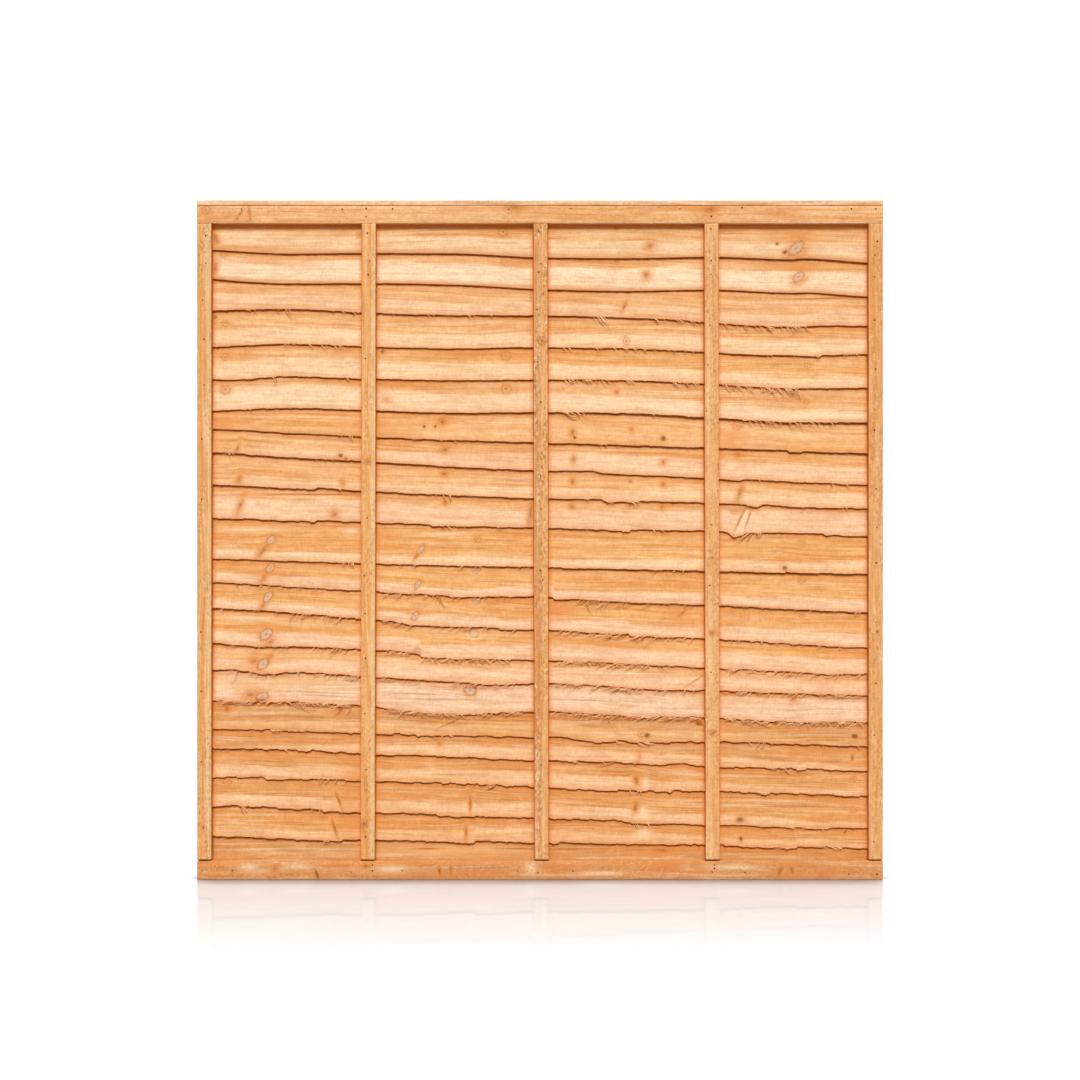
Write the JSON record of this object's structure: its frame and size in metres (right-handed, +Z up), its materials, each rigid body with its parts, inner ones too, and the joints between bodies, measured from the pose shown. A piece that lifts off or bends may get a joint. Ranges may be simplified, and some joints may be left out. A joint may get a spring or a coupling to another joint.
{
  "type": "waney lap fence panel",
  "caption": "Waney lap fence panel: wavy overlapping softwood slats held between battens and rails, under a capping strip.",
  "frame": {"origin": "middle of the panel's footprint on the ground", "axes": "+X along the panel from its left end to its right end, +Y from the front face to the back, +Z up"},
  "size_m": [1.829, 0.0526, 1.81],
  "materials": {
    "slats": "rough sawn, dip treated",
    "battens": "rough sawn, dip treated",
    "rails": "rough sawn, dip treated",
    "cap": "sawn, dip treated",
    "nails": "dull, lightly rusted"
  },
  "bodies": {
    "root": {"batten_back_1": "battens", "batten_back_2": "battens", "batten_back_3": "battens", "batten_back_4": "battens", "batten_back_5": "battens", "batten_front_1": "battens", "batten_front_2": "battens", "batten_front_3": "battens", "batten_front_4": "battens", "batten_front_5": "battens", "bottom_rail_back": "rails", "bottom_rail_front": "rails", "cap_strip": "cap", "nails_batten_1": "nails", "nails_batten_2": "nails", "nails_batten_3": "nails", "nails_batten_4": "nails", "nails_batten_5": "nails", "nails_bottom_rail": "nails", "nails_cap": "nails", "nails_top_rail": "nails", "slat_01": "slats", "slat_02": "slats", "slat_03": "slats", "slat_04": "slats", "slat_05": "slats", "slat_06": "slats", "slat_07": "slats", "slat_08": "slats", "slat_09": "slats", "slat_10": "slats", "slat_11": "slats", "slat_12": "slats", "slat_13": "slats", "slat_14": "slats", "slat_15": "slats", "slat_16": "slats", "slat_17": "slats", "slat_18": "slats", "slat_19": "slats", "slat_20": "slats", "slat_21": "slats", "slat_22": "slats", "top_rail_back": "rails", "top_rail_front": "rails"}
  },
  "joints": []
}
